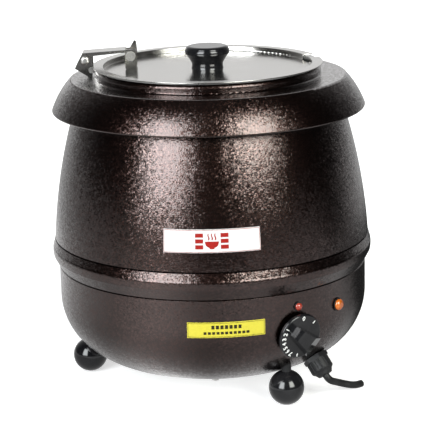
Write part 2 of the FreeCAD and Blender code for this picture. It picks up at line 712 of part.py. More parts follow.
def lid_plate():
    """Sheet lid: a sunk disc inside a flat rim that overhangs the pot's flange."""
    rim_in = 109.2
    edge_r = LID_R - THIN / 2
    lid = turned(
        (0, LID_DISC_Z), (rim_in - 1.0, LID_DISC_Z),
        ((rim_in - 0.3, LID_DISC_Z + 0.3), (rim_in, LID_DISC_Z + 1.0)), (rim_in, LID_RIM_Z - 1.0),
        ((rim_in + 0.3, LID_RIM_Z - 0.3), (rim_in + 1.0, LID_RIM_Z)), (edge_r, LID_RIM_Z),
        ((LID_R, LID_RIM_Z - THIN / 2), (edge_r, LID_RIM_Z - THIN)),
        (rim_in + 1.0, LID_RIM_Z - THIN),
        ((rim_in + 0.86, LID_RIM_Z - 0.86), (rim_in + THIN, LID_RIM_Z - 1.0)),
        (rim_in + THIN, LID_DISC_Z + 0.4),
        ((rim_in + 0.4, LID_DISC_Z - 0.4), (rim_in - 0.4, LID_DISC_Z - THIN)),
        (0, LID_DISC_Z - THIN))
    notch = block((107, -11, 320), (140, 11, 345))
    notch.rotate(V(0, 0, 0), AXIS, NOTCH_AZIMUTH - 90)
    return lid.cut(notch).cut(post(KNOB_SCREW_R + TOUCH, 0, 0, 320, 345))


KNOB_FOOT_Z = LID_DISC_Z + TOUCH
KNOB_H = 23.6


def lid_knob():
    """Moulded knob: a short waist under a wide head with a flat top."""
    z = KNOB_FOOT_Z
    knob = turned(
        (0, z), (17.0, z), ((16.4, z + 2.4), (16.6, z + 5.8)),
        ((19.6, z + 11.0), (23.3, z + 15.8)), ((23.5, z + 18.2), (22.4, z + 20.8)),
        ((20.9, z + 22.8), (18.4, z + KNOB_H)), (0, z + KNOB_H))
    return knob.cut(post(KNOB_SCREW_R + TOUCH, 0, 0, z - 1, z + 12))


def knob_washer():
    top = LID_DISC_Z - THIN - TOUCH
    return post(8, 0, 0, top - 1.0, top).cut(post(KNOB_SCREW_R + TOUCH, 0, 0, 320, 345))


def knob_screw():
    seat = LID_DISC_Z - THIN - TOUCH - 1.0 - TOUCH
    screw = post(KNOB_SCREW_R, 0, 0, seat, KNOB_FOOT_Z + 11).fuse(post(4.6, 0, 0, seat - 2.6, seat))
    slot = block((-5, -0.6, seat - 3), (5, 0.6, seat - 1.5))
    return screw.cut(slot).removeSplitter()


# ---- lid hinge ----------------------------------------------------------------------------
CHEEK = [(-131.4, 348.9), (-125.4, 348.9), (-121.2, 345.4), (-121.2, 332.6), (-124.5, 326.0), (-139.0, 335.2)]
CLAMP_SCREW = (-121.8, 333.4)
EAR_X = -80.2
EAR_SCREW_Z = 346.5
EAR_FOOT_Z = LID_DISC_Z + 0.8
SCREW_M4_R = 2.0


def hinge_bracket():
    """Fixed half of the hinge: two cheeks joined by a web, and a tongue welded to the pot's flange."""
    bracket = plate(CHEEK, -STRIP, 0)
    bracket = bracket.fuse(plate(CHEEK, HINGE_BACK_Y, HINGE_BACK_Y + STRIP))
    web = [(-139.0, 335.2), (-124.5, 326.0), (-123.7, 327.27), (-138.2, 336.47)]
    bracket = bracket.fuse(plate(web, -STRIP, HINGE_BACK_Y + STRIP))
    tongue_z = POT_FLANGE_Z - STRIP
    riser_x = -125.0
    near_side, far_side = 4, HINGE_BACK_Y - 4
    bracket = bracket.fuse(block((riser_x, near_side, 326.4), (riser_x + STRIP, far_side, POT_FLANGE_Z)))
    tongue = block((riser_x, near_side, tongue_z), (-105.0, far_side, POT_FLANGE_Z))
    bracket = bracket.fuse(tongue.cut(post(POT_FLANGE_R + TOUCH, 0, 0, 320, 345)))
    beside_neck = -NECK_R - 0.35
    bracket = bracket.fuse(block((-126.2, 0, 330.4), (beside_neck, 6.0, POT_FLANGE_Z - 0.6)))
    foot = block((riser_x, -5.0, COLLAR_Z + TOUCH), (beside_neck - 1.5, 0, COLLAR_Z + 5.2))
    bracket = bracket.fuse(foot)
    bracket = bracket.cut(rod_y(PIN_R + TOUCH, PIVOT_X, PIVOT_Z, -5, HINGE_BACK_Y + 5))
    return bracket.cut(rod_y(1.5 + TOUCH, CLAMP_SCREW[0], CLAMP_SCREW[1], -5, 7)).removeSplitter()


def pivot_pin():
    """Pin with a domed head in front and a peened head at the back."""
    pin = rod_y(PIN_R, PIVOT_X, PIVOT_Z, -STRIP - TOUCH, HINGE_BACK_Y + STRIP + TOUCH)
    head = turned((0, 0), (4.4, 0), (4.4, 0.6), ((3.5, 1.6), (1.8, 2.1)), (0, 2.1))
    front = FreeCAD.Placement(V(PIVOT_X, -STRIP - TOUCH, PIVOT_Z), FreeCAD.Rotation(AXIS, V(0, -1, 0)))
    back = FreeCAD.Placement(V(PIVOT_X, HINGE_BACK_Y + STRIP + TOUCH, PIVOT_Z),
                             FreeCAD.Rotation(AXIS, V(0, 1, 0)))
    for placement in (front, back):
        pin = pin.fuse(head.transformed(placement.toMatrix(), True))
    return pin.removeSplitter()


def cross_head(radius, height, x, z, y_seat, side):
    """Screw head with a cross recess; side is -1 when it faces the front."""
    y_top = y_seat + side * height
    head = rod_y(radius, x, z, min(y_seat, y_top), max(y_seat, y_top))
    depth = height * 0.55
    y_low, y_high = sorted((y_top - side * depth, y_top + side))
    recess = block((x - radius * 0.6, y_low, z - 0.5), (x + radius * 0.6, y_high, z + 0.5))
    recess = recess.fuse(block((x - 0.5, y_low, z - radius * 0.6), (x + 0.5, y_high, z + radius * 0.6)))
    return head.cut(recess)


def clamp_screw():
    x, z = CLAMP_SCREW
    shank = rod_y(1.5, x, z, -STRIP - TOUCH, 5.5)
    return shank.fuse(cross_head(2.7, 2.2, x, z, -STRIP - TOUCH, -1)).removeSplitter()


def hinge_arm():
    """Moving half: a knuckle on the pin, a strap with turned-down edges and an ear at each side."""
    front, back = STRIP, HINGE_BACK_Y - STRIP
    knuckle_r = 4.6
    strap_from, strap_end = -131.0, EAR_X - 5.5
    arm = rod_y(knuckle_r, PIVOT_X, PIVOT_Z, front, back)
    strap = [(strap_from, 349.3), (strap_end, 351.7), (strap_end, 351.7 + STRIP), (strap_from, 349.3 + STRIP)]
    arm = arm.fuse(plate(strap, front, back))
    edge = [(strap_from, 343.5), (-124.6, 343.5), (-119.0, 347.6), (strap_end, 350.3),
            (strap_end, 352.4), (strap_from, 350.0)]
    ear = [(EAR_X - 6, EAR_FOOT_Z), (EAR_X + 6, EAR_FOOT_Z), (EAR_X + 6, 352.2), (EAR_X + 4.4, 353.6),
           (EAR_X - 4.4, 353.6), (EAR_X - 6, 352.2)]
    for side in (edge, ear):
        arm = arm.fuse(plate(side, front, front + STRIP))
    far_ear = [(EAR_X - 6, EAR_FOOT_Z), (EAR_X + 6, EAR_FOOT_Z), (EAR_X + 6, 351), (EAR_X + 5.4, 358.3),
               (EAR_X + 4.2, 360.0), (EAR_X + 2.8, 359.4), (EAR_X - 1.5, 352.2), (EAR_X - 6, 352.2)]
    for side in (edge, far_ear):
        arm = arm.fuse(plate(side, back - STRIP, back))
    arm = arm.cut(rod_y(PIN_R + RUNNING, PIVOT_X, PIVOT_Z, -5, HINGE_BACK_Y + 5))
    return arm.cut(rod_y(SCREW_M4_R + TOUCH, EAR_X, EAR_SCREW_Z, -5, HINGE_BACK_Y + 5)).removeSplitter()


def mirrored_in_hinge(shape):
    """The same piece at the hinge's other side, front to back."""
    return shape.mirror(V(0, HINGE_BACK_Y / 2, 0), V(0, 1, 0))


def lid_bracket():
    front = 2 * STRIP + TOUCH
    upright = [(EAR_X - 5, LID_DISC_Z + TOUCH), (EAR_X + 5, LID_DISC_Z + TOUCH), (EAR_X + 5, 349.8),
               (EAR_X + 3.5, 350.9), (EAR_X - 3.5, 350.9), (EAR_X - 5, 349.8)]
    bracket = plate(upright, front, front + STRIP)
    foot = block((EAR_X - 5, front, LID_DISC_Z + TOUCH), (EAR_X + 5, front + 8, LID_DISC_Z + TOUCH + STRIP))
    bracket = bracket.fuse(foot)
    return bracket.cut(rod_y(SCREW_M4_R + TOUCH, EAR_X, EAR_SCREW_Z, -5, 12)).removeSplitter()


def ear_screw():
    seat = STRIP - TOUCH
    shank = rod_y(SCREW_M4_R, EAR_X, EAR_SCREW_Z, seat, 8.6)
    return shank.fuse(cross_head(4.8, 2.4, EAR_X, EAR_SCREW_Z, seat, -1)).removeSplitter()


def ear_nut():
    nut = hexagon(7, 3.2, V(EAR_X, 3 * STRIP + 2 * TOUCH, EAR_SCREW_Z), V(0, 1, 0))
    return nut.cut(rod_y(SCREW_M4_R + TOUCH, EAR_X, EAR_SCREW_Z, -5, 12))


def both_sides(shape):
    return [shape, mirrored_in_hinge(shape)]


# ---- the assembly -------------------------------------------------------------------------
os.makedirs("parts", exist_ok=True)

write("upper_shell", upper_shell())
write("collar_ring", collar_ring())
write("belly_band", belly_band())
write("lower_shell", lower_shell())
write("base_plate", base_plate())
write("base_plate_screws", *base_plate_screws())
write("water_pan", water_pan())
write("insulation_blanket", insulation_blanket())
write("heating_element", heating_element())
write("element_press_plate", press_plate())
write("element_clamp_bar", clamp_bar())
write("element_clamp_stud", clamp_stud())
write("element_clamp_nut", clamp_nut())
write("thermal_cutout", thermal_cutout())
write("thermostat_body", thermostat_body())
write("thermostat_screws", *thermostat_screws())
write("capillary_tube", capillary_tube())
write("sensing_bulb", sensing_bulb())
write("bulb_clip", bulb_clip())
write("terminal_block", terminal_block())
write("wiring_leads", *wiring_leads())
write("cord_cores", *cord_cores())
write("earth_screw", earth_screw())
write("pilot_lamp_lens", pilot_lamp_lens())
write("pilot_lamp_body", pilot_lamp_body())
write("pilot_lamp_nut", pilot_lamp_nut())
write("index_lamp_lens", index_lamp_lens())
write("index_lamp_body", index_lamp_body())
write("cord_gland", cord_gland())
write("gland_nut", gland_nut())
write("power_cord", power_cord())
write("ball_feet", *at_feet(ball_foot))
write("foot_spacers", *at_feet(foot_spacer))
write("foot_pads", *at_feet(foot_pad))
write("foot_studs", *at_feet(foot_stud))
write("foot_nuts", *at_feet(foot_nut))
write("name_plate", name_plate())
write("hot_surface_plate", hot_surface_plate())

write("soup_pot", soup_pot())
write("hinge_bracket", hinge_bracket())
write("pivot_pin", pivot_pin())
write("clamp_screw", clamp_screw())

write("lid_plate", lid_plate())
write("lid_knob", lid_knob())
write("knob_washer", knob_washer())
write("knob_screw", knob_screw())
write("hinge_arm", hinge_arm())
write("lid_brackets", *both_sides(lid_bracket()))
write("ear_screws", *both_sides(ear_screw()))
write("ear_nuts", *both_sides(ear_nut()))

write("dial_knob", dial_knob())
write("thermostat_shaft", thermostat_shaft())
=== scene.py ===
import json
import math

import bmesh
import bpy
from mathutils import Matrix, Vector
from mathutils.bvhtree import BVHTree


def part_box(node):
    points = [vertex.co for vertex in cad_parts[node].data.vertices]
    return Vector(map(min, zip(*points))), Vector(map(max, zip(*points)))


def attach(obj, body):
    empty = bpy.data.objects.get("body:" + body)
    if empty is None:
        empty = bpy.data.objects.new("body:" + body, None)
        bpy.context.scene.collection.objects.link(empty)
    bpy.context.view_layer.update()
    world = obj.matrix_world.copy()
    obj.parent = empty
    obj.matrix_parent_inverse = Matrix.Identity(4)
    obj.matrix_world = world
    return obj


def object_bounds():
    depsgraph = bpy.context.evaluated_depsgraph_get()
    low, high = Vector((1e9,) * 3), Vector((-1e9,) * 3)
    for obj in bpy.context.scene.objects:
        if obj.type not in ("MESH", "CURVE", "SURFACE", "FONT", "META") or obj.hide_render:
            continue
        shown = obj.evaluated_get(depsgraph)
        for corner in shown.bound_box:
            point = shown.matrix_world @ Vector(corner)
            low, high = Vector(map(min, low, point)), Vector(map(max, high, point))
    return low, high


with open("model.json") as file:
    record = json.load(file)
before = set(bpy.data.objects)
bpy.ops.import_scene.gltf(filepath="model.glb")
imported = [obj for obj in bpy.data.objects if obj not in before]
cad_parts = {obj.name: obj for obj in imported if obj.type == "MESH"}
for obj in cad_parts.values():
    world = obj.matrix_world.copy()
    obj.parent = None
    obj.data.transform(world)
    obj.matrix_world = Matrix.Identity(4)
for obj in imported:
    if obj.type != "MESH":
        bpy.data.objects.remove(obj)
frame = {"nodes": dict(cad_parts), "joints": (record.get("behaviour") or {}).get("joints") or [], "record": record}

cad_low, cad_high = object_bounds()

MM = 0.001
NODES = frame["nodes"]
JOINTS = {joint["name"]: joint for joint in frame["joints"]}


# ---- shader helpers -----------------------------------------------------------------------
def opaque(value):
    """A colour of three numbers gains its alpha; a node's output passes through."""
    return (*value, 1.0) if isinstance(value, tuple) else value


class Nodes:
    """Short calls that add shader nodes to one node tree and return their outputs."""

    def __init__(self, tree, place):
        self.tree = tree
        self.place = place

    def add(self, kind, inputs=(), **settings):
        node = self.tree.nodes.new("ShaderNode" + kind)
        for name, value in settings.items():
            setattr(node, name, value)
        for key, value in dict(inputs).items():
            self.feed(node.inputs[key], value)
        return node

    def feed(self, socket, value):
        if isinstance(value, bpy.types.NodeSocket):
            self.tree.links.new(value, socket)
        else:
            socket.default_value = value

    def math(self, operation, a, b=0.0, c=0.0):
        return self.add("Math", {0: a, 1: b, 2: c}, operation=operation).outputs[0]

    def noise(self, scale, detail=2.0, roughness=0.5, place=None, distortion=0.0):
        inputs = {"Vector": place or self.place, "Scale": scale, "Detail": detail,
                  "Roughness": roughness, "Distortion": distortion}
        return self.add("TexNoise", inputs).outputs[0]

    def cells(self, scale, randomness=1.0):
        inputs = {"Vector": self.place, "Scale": scale, "Randomness": randomness}
        return self.add("TexVoronoi", inputs).outputs["Distance"]

    def stretched(self, x, y, z):
        """The place scaled along each axis, for grain that runs one way."""
        inputs = {0: self.place, 1: (x, y, z)}
        return self.add("VectorMath", inputs, operation="MULTIPLY").outputs[0]

    def ramp(self, value, *stops):
        """Colours at positions; each stop is (position, colour)."""
        node = self.add("ValToRGB", {0: value})
        ramp = node.color_ramp
        while len(ramp.elements) < len(stops):
            ramp.elements.new(0.5)
        for element, (position, colour) in zip(ramp.elements, stops):
            element.position = position
            element.color = opaque(colour)
        return node.outputs[0]

    def spread(self, value, low, high, to_low=0.0, to_high=1.0, smooth=False):
        """Maps low..high to to_low..to_high and holds the ends."""
        inputs = {0: value, 1: low, 2: high, 3: to_low, 4: to_high}
        kind = "SMOOTHSTEP" if smooth else "LINEAR"
        return self.add("MapRange", inputs, interpolation_type=kind).outputs[0]

    def blend(self, factor, a, b):
        """Colour a where the factor is 0, colour b where it is 1."""
        node = self.add("Mix", data_type="RGBA")
        self.feed(node.inputs[0], factor)
        self.feed(node.inputs[6], opaque(a))
        self.feed(node.inputs[7], opaque(b))
        return node.outputs[2]

    def bump(self, height, depth, strength=1.0):
        """Surface relief: depth is the height's full range, in millimetres."""
        inputs = {"Height": height, "Distance": depth * MM, "Strength": strength}
        return self.add("Bump", inputs).outputs[0]


def new_material(name):
    """A material, its node calls and its surface shader."""
    made = bpy.data.materials.new(name)
    made.use_nodes = True
    tree = made.node_tree
    place = tree.nodes.new("ShaderNodeTexCoord").outputs["Object"]
    return made, Nodes(tree, place), tree.nodes["Principled BSDF"]


SURFACE_INPUTS = {
    "colour": "Base Color", "metal": "Metallic", "rough": "Roughness", "normal": "Normal",
    "coat": "Coat Weight", "coat_rough": "Coat Roughness", "coat_normal": "Coat Normal",
    "glow": "Emission Color", "glow_strength": "Emission Strength", "sheen": "Sheen Weight",
    "level": "Specular IOR Level", "brushed": "Anisotropic",
}


def dress(n, surface, **inputs):
    for key, value in inputs.items():
        n.feed(surface.inputs[SURFACE_INPUTS[key]], opaque(value))


# ---- materials ----------------------------------------------------------------------------
# Texture scales are in features per metre, relief depths in millimetres.
PEBBLE_SCALE = 640.0
PEBBLE_DEPTH = 0.10
PEBBLE_LEAN = 0.13         # how far a pebble's face leans, as a share of the surface normal
PEBBLE_SHOVE = 1.0 * MM    # how far noise shoves the pebbles' outlines about
SHOVE_SCALE = 420.0


def hammered_paint():
    """Dark brown hammer-finish enamel: every pebble leans its own way under a clear gloss."""
    made, n, surface = new_material("hammered_paint")
    dark, middle, light = (0.021, 0.010, 0.0080), (0.033, 0.0158, 0.0128), (0.062, 0.031, 0.026)
    cloud = (0.046, 0.023, 0.019)
    shove = n.add("TexNoise", {"Vector": n.place, "Scale": SHOVE_SCALE, "Detail": 1.0}).outputs[1]
    shove = n.add("VectorMath", {0: shove, "Scale": PEBBLE_SHOVE}, operation="SCALE").outputs[0]
    wander = n.add("VectorMath", {0: n.place, 1: shove}, operation="ADD").outputs[0]
    pebble = n.add("TexVoronoi", {"Vector": wander, "Scale": PEBBLE_SCALE}).outputs
    fine = n.noise(1700.0)
    flow = n.noise(24.0, 3.0)
    shade = n.add("SeparateColor", {0: pebble["Color"]}).outputs[0]
    colour = n.ramp(shade, (0.0, dark), (0.5, middle), (1.0, light))
    colour = n.blend(n.spread(flow, 0.35, 0.65, 0.0, 0.3), colour, cloud)
    leans = {0: pebble["Color"], 1: (PEBBLE_LEAN,) * 3, 2: (-PEBBLE_LEAN / 2,) * 3}
    lean = n.add("VectorMath", leans, operation="MULTIPLY_ADD").outputs[0]
    facing = n.add("NewGeometry").outputs["Normal"]
    leaning = n.add("VectorMath", {0: facing, 1: lean}, operation="ADD").outputs[0]
    leaning = n.add("VectorMath", {0: leaning}, operation="NORMALIZE").outputs[0]
    relief = n.math("MULTIPLY_ADD", fine, 0.40, n.math("MULTIPLY", pebble["Distance"], -1.0))
    bumps = {"Height": relief, "Distance": PEBBLE_DEPTH * MM, "Strength": 1.0, "Normal": leaning}
    pebbled = n.add("Bump", bumps).outputs[0]
    dress(n, surface, colour=colour, metal=1.0, rough=n.spread(fine, 0.3, 0.7, 0.20, 0.28),
          normal=pebbled, coat=1.0, coat_rough=0.12, coat_normal=pebbled)
    return made


def polished_stainless():
    """Mirror-polished sheet with faint circular buffing."""
    made, n, surface = new_material("polished_stainless")
    shaded, bright = (0.59, 0.575, 0.55), (0.65, 0.64, 0.62)
    radius = n.add("VectorMath", {0: n.stretched(1.0, 1.0, 0.0)}, operation="LENGTH").outputs["Value"]
    rings = n.add("CombineXYZ", {0: n.math("MULTIPLY", radius, 2600.0)}).outputs[0]
    buffing = n.noise(1.0, 2.0, 0.6, rings)
    smear = n.noise(55.0, 4.0, 0.6)
    colour = n.blend(n.spread(smear, 0.3, 0.7), shaded, bright)
    dress(n, surface, colour=colour, metal=1.0, rough=n.spread(smear, 0.35, 0.75, 0.15, 0.22),
          normal=n.bump(buffing, 0.004, 0.6))
    return made


def brushed_stainless():
    """Satin sheet drawn round its axis, so the grain runs level."""
    made, n, surface = new_material("brushed_stainless")
    shaded, bright = (0.52, 0.52, 0.51), (0.66, 0.655, 0.645)
    grain = n.noise(1.0, 3.0, 0.65, n.stretched(60.0, 60.0, 5200.0))
    smear = n.noise(30.0, 3.0)
    colour = n.blend(n.spread(grain, 0.3, 0.7), shaded, bright)
    dress(n, surface, colour=colour, metal=1.0, rough=n.spread(smear, 0.3, 0.7, 0.24, 0.34),
          normal=n.bump(grain, 0.012, 0.8), brushed=0.4)
    return made


def plated_steel():
    """Zinc-plated sheet with its soft crystalline mottle."""
    made, n, surface = new_material("plated_steel")
    blue, grey = (0.50, 0.51, 0.52), (0.66, 0.66, 0.65)
    mottle = n.cells(220.0)
    cloud = n.noise(70.0, 4.0)
    colour = n.blend(n.spread(mottle, 0.1, 0.8), blue, grey)
    dress(n, surface, colour=colour, metal=1.0, rough=n.spread(cloud, 0.3, 0.7, 0.30, 0.48),
          normal=n.bump(cloud, 0.02, 0.5))
    return made


def screw_steel():
    """Bright plated fasteners with turning marks and a little tarnish."""
    made, n, surface = new_material("screw_steel")
    bright, dull = (0.68, 0.67, 0.65), (0.47, 0.45, 0.42)
    marks = n.noise(1.0, 2.0, 0.6, n.stretched(900.0, 900.0, 7000.0))
    tarnish = n.noise(260.0, 3.0)
    colour = n.blend(n.spread(tarnish, 0.45, 0.75), bright, dull)
    dress(n, surface, colour=colour, metal=1.0, rough=n.spread(marks, 0.3, 0.7, 0.28, 0.42),
          normal=n.bump(marks, 0.006, 0.6))
    return made


def mineral_wool():
    """Pale matted fibres."""
    made, n, surface = new_material("mineral_wool")
    deep, pale = (0.50, 0.44, 0.31), (0.80, 0.76, 0.64)
    strands = n.noise(1.0, 4.0, 0.7, n.stretched(900.0, 900.0, 260.0), 1.5)
    tufts = n.noise(130.0, 3.0)
    colour = n.blend(n.spread(strands, 0.3, 0.7), deep, pale)
    relief = n.math("ADD", strands, tufts)
    dress(n, surface, colour=colour, rough=0.95, normal=n.bump(relief, 1.2, 0.9), sheen=0.3)
    return made


def element_sheath():
    """Steel sheath with heat colours."""
    made, n, surface = new_material("element_sheath")
    grey, straw, blue = (0.14, 0.12, 0.11), (0.26, 0.19, 0.13), (0.12, 0.13, 0.18)
    colour = n.ramp(n.noise(38.0, 3.0), (0.3, grey), (0.5, straw), (0.65, blue))
    dress(n, surface, colour=colour, metal=0.9, rough=0.45, normal=n.bump(n.noise(1400.0), 0.01, 0.6))
    return made


def moulded(name, colour, worn, rough, grain_scale, depth):
    """Moulded plastic or rubber: a fine grain and slightly paler, duller patches."""
    made, n, surface = new_material(name)
    grain = n.noise(grain_scale)
    patches = n.noise(90.0, 3.0)
    shade = n.blend(n.spread(patches, 0.45, 0.75), colour, worn)
    dress(n, surface, colour=shade, rough=n.spread(patches, 0.3, 0.7, rough, rough + 0.12),
          normal=n.bump(grain, depth, 0.7), level=0.3)
    return made


def black_plastic():
    return moulded("black_plastic", (0.011, 0.011, 0.012), (0.020, 0.020, 0.020), 0.42, 2200.0, 0.02)


def white_plastic():
    return moulded("white_plastic", (0.78, 0.77, 0.72), (0.70, 0.68, 0.62), 0.38, 1800.0, 0.01)


def black_rubber():
    return moulded("black_rubber", (0.010, 0.010, 0.010), (0.018, 0.018, 0.018), 0.40, 1500.0, 0.02)


def phenolic():
    """Glossy black moulding with faint swirl under the polish."""
    made, n, surface = new_material("phenolic")
    black, worn = (0.006, 0.006, 0.007), (0.013, 0.013, 0.014)
    swirl = n.noise(60.0, 4.0, 0.6, distortion=0.8)
    dust = n.noise(1900.0, 1.0)
    colour = n.blend(n.spread(swirl, 0.4, 0.7), black, worn)
    dress(n, surface, colour=colour, rough=n.spread(dust, 0.55, 0.8, 0.07, 0.16),
          normal=n.bump(swirl, 0.01, 0.3), level=0.35, coat=0.35, coat_rough=0.04)
    return made


def wire_insulation():
    """Brown sleeving on the leads, with the pattern of a dyed braid."""
    made, n, surface = new_material("wire_insulation")
    deep, pale = (0.20, 0.085, 0.035), (0.34, 0.16, 0.07)
    braid = n.cells(1500.0, 0.2)
    colour = n.blend(n.spread(braid, 0.1, 0.6), deep, pale)
    dress(n, surface, colour=colour, rough=0.55, normal=n.bump(braid, 0.05, 0.6))
    return made


def copper():
    """Drawn copper tube, bright with brown tarnish in places."""
    made, n, surface = new_material("copper")
    bright, brown = (0.72, 0.36, 0.22), (0.34, 0.17, 0.11)
    tarnish = n.noise(120.0, 4.0)
    colour = n.blend(n.spread(tarnish, 0.4, 0.7), bright, brown)
    dress(n, surface, colour=colour, metal=1.0, rough=n.spread(tarnish, 0.3, 0.7, 0.22, 0.42),
          normal=n.bump(tarnish, 0.01, 0.5))
    return made


def lens(name, deep, bright, glow):
    """Moulded lamp lens lit softly from inside: deep colour at grazing angles, bright in the middle."""
    made, n, surface = new_material(name)
    grazing = n.add("LayerWeight", {"Blend": 0.45}).outputs["Facing"]
    facets = n.cells(900.0, 0.35)
    colour = n.blend(n.spread(grazing, 0.1, 0.9), bright, deep)
    colour = n.blend(n.spread(facets, 0.1, 0.6, 0.0, 0.35), colour, deep)
    dress(n, surface, colour=colour, rough=0.12, normal=n.bump(facets, 0.12, 0.7), coat=0.8,
          coat_rough=0.03, glow=colour, glow_strength=glow)
    return made


def amber_lens():
    return lens("amber_lens", (0.16, 0.020, 0.002), (0.62, 0.16, 0.015), 0.12)


def red_lens():
    return lens("red_lens", (0.14, 0.010, 0.006), (0.36, 0.045, 0.025), 0.08)


def printed(name, colour, speck, rough, coat=0.3):
    """Enamel or vinyl plate and its print: an even colour with faint mottle and a satin skin."""
    made, n, surface = new_material(name)
    mottle = n.noise(320.0, 4.0, 0.6)
    skin = n.noise(900.0)
    shade = n.blend(n.spread(mottle, 0.45, 0.8), colour, speck)
    dress(n, surface, colour=shade, rough=n.spread(skin, 0.3, 0.7, rough, rough + 0.1),
          normal=n.bump(skin, 0.008, 0.5), coat=coat, coat_rough=0.1, level=0.2 + coat)
    return made


def white_plate():
    return printed("white_plate", (0.62, 0.62, 0.62), (0.57, 0.57, 0.57), 0.30)


def yellow_plate():
    return printed("yellow_plate", (0.52, 0.46, 0.03), (0.47, 0.41, 0.025), 0.34)


SLOT_MATERIALS = {make.__name__: make() for make in (
    hammered_paint, plated_steel, brushed_stainless, polished_stainless, screw_steel, mineral_wool,
    element_sheath, black_plastic, white_plastic, copper, wire_insulation, black_rubber, amber_lens,
    red_lens, phenolic, white_plate, yellow_plate)}
RED_PRINT = printed("red_print", (0.27, 0.007, 0.004), (0.22, 0.007, 0.005), 0.5, 0.0)
RED_EDGE = printed("red_edge", (0.30, 0.05, 0.04), (0.22, 0.04, 0.03), 0.5, 0.0)
DARK_PRINT = printed("dark_print", (0.020, 0.016, 0.005), (0.036, 0.030, 0.008), 0.5, 0.0)
WHITE_PRINT = printed("white_print", (0.82, 0.82, 0.80), (0.66, 0.66, 0.64), 0.34)


def paint_cad():
    """Every CAD node takes the material of its slot in the record."""
    for part in frame["record"]["subparts"]:
        mesh = NODES[part["node"]].data
        mesh.materials.clear()
        mesh.materials.append(SLOT_MATERIALS[part["material_slot"]])


# ---- printed marks ------------------------------------------------------------------------
PRINT_LIFT = 0.12 * MM     # how far the middle of the print stands off its plate
PRINT_DEPTH = 0.08 * MM
BAR_STEP = 1.5 * MM        # spacing of the cuts that let a bar follow a curved plate
FROM_OUTSIDE = 1.2         # rays towards a plate start this many radii out


def finished(name, mesh, material, depth=0.0):
    """Turns a bmesh into an object with one material, thickened both ways to a given depth."""
    bmesh.ops.recalc_face_normals(mesh, faces=mesh.faces)
    data = bpy.data.meshes.new(name)
    mesh.to_mesh(data)
    mesh.free()
    made = bpy.data.objects.new(name, data)
    bpy.context.scene.collection.objects.link(made)
    data.materials.append(material)
    if depth:
        thick = made.modifiers.new("thickness", "SOLIDIFY")
        thick.thickness = depth
        thick.offset = 0.0
    return made


class Skin:
    """Lays flat drawings on a curved plate: across runs round the axis, up runs along Z."""

    def __init__(self, node):
        mesh = NODES[node].data
        low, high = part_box(node)
        self.tree = BVHTree.FromPolygons([v.co for v in mesh.vertices], [p.vertices for p in mesh.polygons])
        turns = [math.atan2(v.co.x, -v.co.y) for v in mesh.vertices]
        self.middle = (min(turns) + max(turns)) / 2
        self.radius = max(math.hypot(v.co.x, v.co.y) for v in mesh.vertices)
        self.width = (max(turns) - min(turns)) * self.radius
        self.height = high.z - low.z
        self.centre_z = (low.z + high.z) / 2

    def at(self, across, up):
        turn = self.middle + across / self.radius
        outward = Vector((math.sin(turn), -math.cos(turn), 0.0))
        level = Vector((0.0, 0.0, self.centre_z + up))
        hit = self.tree.ray_cast(level + outward * self.radius * FROM_OUTSIDE, -outward)
        return hit[0] + outward * PRINT_LIFT


def ribbons(name, skin, strips, material):
    """One thin printed piece made of strips; a strip is two edges, each a list of (across, up)."""
    mesh = bmesh.new()
    for left, right in strips:
        rows = [[mesh.verts.new(skin.at(*spot)) for spot in pair] for pair in zip(left, right)]
        for (a, b), (c, d) in zip(rows, rows[1:]):
            mesh.faces.new((a, b, d, c))
    return finished(name, mesh, material, PRINT_DEPTH)


def steps(start, end, count):
    return [start + (end - start) * i / count for i in range(count + 1)]


def bar(x0, x1, y0, y1):
    """A filled rectangle, cut across often enough to follow a curved plate."""
    count = max(2, round(abs(x1 - x0) / BAR_STEP))
    xs = steps(x0, x1, count)
    return [(x, y0) for x in xs], [(x, y1) for x in xs]


def frame_line(width, height, line):
    """Four bars round a plate."""
    x, y = width / 2, height / 2
    return [bar(-x, x, y - line, y), bar(-x, x, -y, -y + line),
            bar(-x, -x + line, -y + line, y - line), bar(x - line, x, -y + line, y - line)]


def bowl_body(width, rim, bottom):
    """The filled body of a bowl: a level rim over a half-round that is slightly squared."""
    squared = 0.8              # 1 would give a true half-ellipse
    across = steps(-1.0, 1.0, 16)
    depths = [math.sqrt(max(0.0, 1 - t * t)) ** squared for t in across]
    return ([(t * width / 2, rim) for t in across],
            [(t * width / 2, rim + (bottom - rim) * depth) for t, depth in zip(across, depths)])


def steam_wisp(middle, low, high, width):
    """One wisp that sways once on its way up and narrows as it rises."""
    sway, half_low, half_high = 0.035 * width, 0.05175 * width, 0.02925 * width
    left, right = [], []
    for t in steps(0.0, 1.0, 10):
        x = middle + sway * math.sin(2 * math.pi * t)
        half = half_low + (half_high - half_low) * t
        up = low + (high - low) * t
        left.append((x - half, up))
        right.append((x + half, up))
    return left, right


def bowl_mark(width, height):
    """A plain soup bowl: filled half-round body, foot and three rising wisps of steam."""
    rim, bottom = -0.02 * height, -0.44 * height
    foot_top, foot, foot_half = -0.42 * height, -0.50 * height, 0.17 * width
    steam_low, steam_high, lane = 0.08 * height, 0.48 * height, 0.24 * width
    wisps = [steam_wisp(middle, steam_low, steam_high, width) for middle in (-lane, 0.0, lane)]
    return [bowl_body(width, rim, bottom), bar(-foot_half, foot_half, foot, foot_top)] + wisps


def side_bars(bowl, height):
    """Three level bars on each side of the bowl."""
    near, far = 0.62 * bowl, 1.18 * bowl
    pitch, half = 0.37 * height, 0.13 * height
    strips = []
    for side in (-1, 1):
        for middle in (-pitch, 0.0, pitch):
            strips.append(bar(side * near, side * far, middle - half, middle + half))
    return strips


